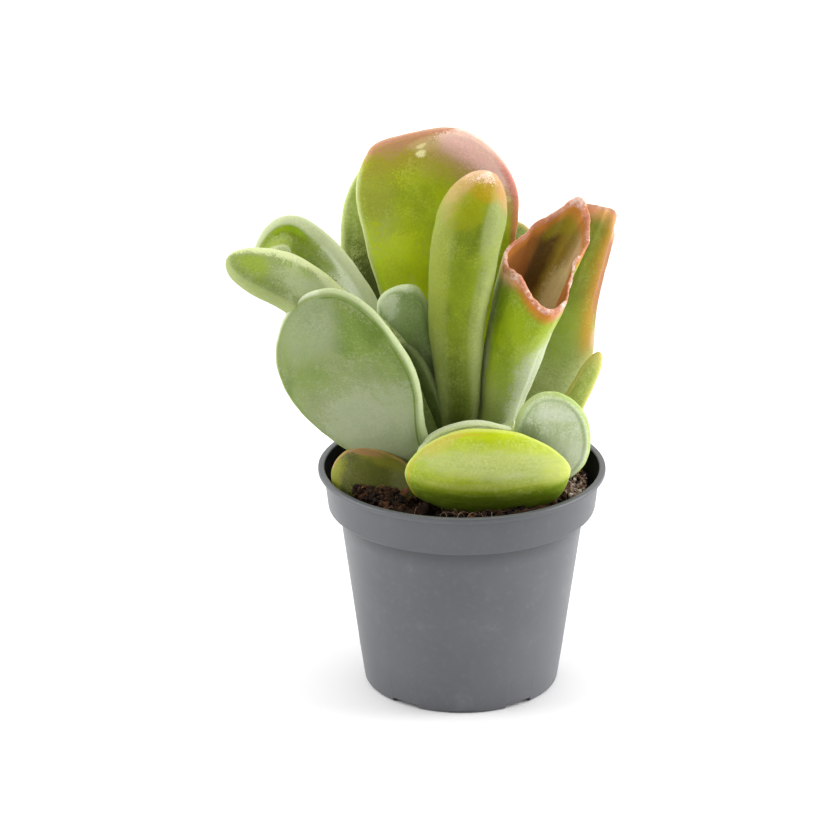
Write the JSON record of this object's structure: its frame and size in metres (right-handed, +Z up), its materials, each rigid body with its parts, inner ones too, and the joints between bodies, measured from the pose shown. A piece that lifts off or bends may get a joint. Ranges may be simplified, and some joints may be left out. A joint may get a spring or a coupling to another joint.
{
  "type": "potted succulent plant",
  "caption": "Young kalanchoe with upright paddle, finger and trumpet leaves in a small round plastic nursery pot filled with peat soil.",
  "frame": {"origin": "on the pot's axis, in the plane that the pot stands on", "axes": "+Z up along the pot's axis, -Y towards the front seen in the picture, +X to the viewer's right"},
  "size_m": [0.0808, 0.0629, 0.1207],
  "materials": {
    "pot": "matte grey moulded plastic with faint mottling",
    "soil": "moist dark brown peat with fibres and light grains",
    "stem": "smooth green-brown plant stem",
    "leaf_lime": "smooth lime green leaf with a thin waxy skin",
    "leaf_pale": "pale grey-green leaf with powdery bloom",
    "leaf_green": "mid green leaf with light bloom",
    "leaf_trumpet": "green leaf with an orange-red lip",
    "leaf_olive": "olive leaf with an orange edge",
    "leaf_blush": "yellow-green leaf with a pink blush at the tip",
    "leaf_grey": "grey-green leaf with white powder",
    "leaf_dark": "shaded dark green leaf"
  },
  "bodies": {
    "root": {"pot": "pot", "soil": "soil", "stem_main": "stem", "stem_right": "stem", "stem_front": "stem", "leaf_lime_front": "leaf_lime", "leaf_right_round": "leaf_pale", "leaf_left_paddle": "leaf_pale", "leaf_front_finger": "leaf_green", "leaf_front_trumpet": "leaf_trumpet", "leaf_low_left": "leaf_olive", "leaf_left_finger": "leaf_pale", "leaf_back_trumpet": "leaf_trumpet", "leaf_back_paddle": "leaf_blush", "leaf_behind_lime": "leaf_pale", "leaf_small_grey": "leaf_grey", "leaf_thin_middle": "leaf_dark", "leaf_upper_left_spoon": "leaf_green", "leaf_back_left_paddle": "leaf_pale", "leaf_right_tip": "leaf_olive", "leaf_rear_paddle": "leaf_green", "leaf_rear_finger": "leaf_green", "leaf_rear_round_left": "leaf_pale", "leaf_rear_round_right": "leaf_pale"}
  },
  "joints": []
}
